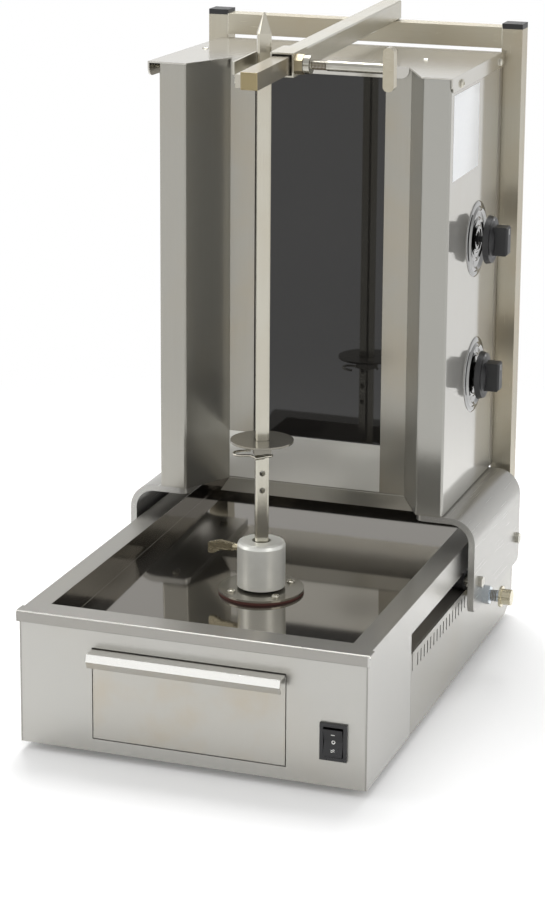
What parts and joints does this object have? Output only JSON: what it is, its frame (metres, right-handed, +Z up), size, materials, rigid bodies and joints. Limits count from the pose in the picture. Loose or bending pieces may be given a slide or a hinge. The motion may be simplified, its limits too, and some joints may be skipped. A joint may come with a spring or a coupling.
{
  "type": "electric skewer grill",
  "caption": "Countertop vertical grill: a motor-turned upright skewer over a drip pan with a fat drawer, and an electric glass-fronted heating tower that slides on the base.",
  "frame": {"origin": "middle of the whole grill's footprint, on the surface that its feet stand on", "axes": "+Z up, -Y towards the cook and the drawer's front, +X to the right as seen from the front"},
  "size_m": [0.373, 0.525, 0.6334],
  "materials": {
    "stainless_steel": "fine vertical brushing, satin",
    "bolt_steel": "zinc-plated, satin",
    "plunger_chrome": "polished",
    "bezel_chrome": "polished",
    "hub_aluminium": "turned, satin",
    "nut_brass": "dull, heat-tinted",
    "handle_steel": "satin",
    "window_glass": "glossy near-black glass ceramic",
    "knob_plastic": "fine satin, dark grey",
    "black_plastic": "satin black",
    "switch_plastic": "semi-gloss black",
    "feet_rubber": "matt black",
    "gasket_rubber": "matt red-brown silicone",
    "motor_paint": "grey paint",
    "insulation": "matt fibre board",
    "quartz": "frosted quartz with ceramic ends"
  },
  "bodies": {
    "base": {"top_shell": "stainless_steel", "front_panel": "stainless_steel", "rear_housing": "stainless_steel", "bottom_plate": "stainless_steel", "feet": "feet_rubber", "drawer_runner_left": "stainless_steel", "drawer_runner_right": "stainless_steel", "guide_channel_left": "stainless_steel", "guide_channel_right": "stainless_steel", "cable_gland": "black_plastic", "motor_plate": "stainless_steel", "gearmotor": "motor_paint", "flange_gasket": "gasket_rubber", "hub_flange": "stainless_steel", "flange_screws": "bolt_steel", "shaft_seal": "gasket_rubber", "switch_housing": "switch_plastic"},
    "drawer": {"drawer_box": "stainless_steel", "drawer_front": "stainless_steel"},
    "rocker": {"rocker": "switch_plastic"},
    "hub": {"hub": "hub_aluminium", "drive_shaft": "stainless_steel"},
    "hub_lever": {"hub_lever": "stainless_steel"},
    "spit": {"spit": "stainless_steel"},
    "meat_disc": {"meat_disc": "stainless_steel"},
    "disc_pin": {"disc_pin": "stainless_steel"},
    "tower": {"bracket_left": "stainless_steel", "bracket_right": "stainless_steel", "tower_bolts": "bolt_steel", "guide_bolts": "bolt_steel", "guide_bushes": "black_plastic", "plunger_body": "bolt_steel", "tower_floor": "stainless_steel", "side_shell_left": "stainless_steel", "side_shell_right": "stainless_steel", "glass_frame": "stainless_steel", "glass_panel": "window_glass", "insulation_board": "insulation", "heating_elements": "quartz", "regulators": "black_plastic", "knob_bezels": "bezel_chrome", "back_panel": "stainless_steel", "lid": "stainless_steel", "lid_screws": "bolt_steel", "post_left": "stainless_steel", "post_right": "stainless_steel", "post_caps": "black_plastic", "crossbar": "stainless_steel", "lower_crossbar": "stainless_steel", "crossbar_spacers": "stainless_steel", "arm_outer": "stainless_steel", "clamp_nut": "nut_brass"},
    "plunger": {"plunger_pin": "plunger_chrome"},
    "arm": {"arm_inner": "stainless_steel", "spit_hook": "stainless_steel", "hook_screw": "bolt_steel"},
    "clamp": {"clamp_screw": "stainless_steel", "clamp_handle": "handle_steel"},
    "knob_upper": {"knob_upper": "knob_plastic"},
    "knob_lower": {"knob_lower": "knob_plastic"}
  },
  "joints": [
    {"name": "drawer_slide", "type": "slide", "parent": "base", "child": "drawer", "axis": [0, -1, 0], "range_m": [0, 0.11]},
    {"name": "rocker_tilt", "type": "hinge", "parent": "base", "child": "rocker", "pos_m": [0.1173, -0.242, 0.0485], "axis": [1, 0, 0], "range_deg": [-8, 8]},
    {"name": "hub_spin", "type": "hinge", "parent": "base", "child": "hub", "pos_m": [-0.0117, -0.0655, 0.11203], "axis": [0, 0, 1], "continuous": true},
    {"name": "hub_lever_turn", "type": "hinge", "parent": "hub", "child": "hub_lever", "pos_m": [-0.0337, -0.0655, 0.14503], "axis": [1, 0, 0], "range_deg": [-170, 170]},
    {"name": "spit_lift", "type": "slide", "parent": "hub", "child": "spit", "axis": [0, 0, 1], "range_m": [0, 0.045]},
    {"name": "disc_lift", "type": "slide", "parent": "spit", "child": "meat_disc", "axis": [0, 0, 1], "range_m": [0, 0.25]},
    {"name": "pin_pull", "type": "slide", "parent": "spit", "child": "disc_pin", "axis": [0.4226, -0.9063, 0], "range_m": [0, 0.03]},
    {"name": "tower_slide", "type": "slide", "parent": "base", "child": "tower", "axis": [0, -1, 0], "range_m": [0, 0.0624]},
    {"name": "plunger_push", "type": "slide", "parent": "tower", "child": "plunger", "axis": [-1, 0, 0], "range_m": [0, 0.0065]},
    {"name": "arm_slide", "type": "slide", "parent": "tower", "child": "arm", "axis": [0, 0.9997, 0.0262], "range_m": [0, 0.0624]},
    {"name": "clamp_turn", "type": "hinge", "parent": "tower", "child": "clamp", "pos_m": [0.0305, -0.07863, 0.59197], "axis": [1, 0, 0], "range_deg": [-180, 180]},
    {"name": "knob_upper_turn", "type": "hinge", "parent": "tower", "child": "knob_upper", "pos_m": [0.1396, 0.1385, 0.403], "axis": [-1, 0, 0], "range_deg": [0, 300]},
    {"name": "knob_lower_turn", "type": "hinge", "parent": "tower", "child": "knob_lower", "pos_m": [0.1342, 0.1415, 0.271], "axis": [-1, 0, 0], "range_deg": [0, 300]}
  ],
  "couplings": [
    {"joint": "arm_slide", "follows": "tower_slide", "ratio": 1}
  ]
}
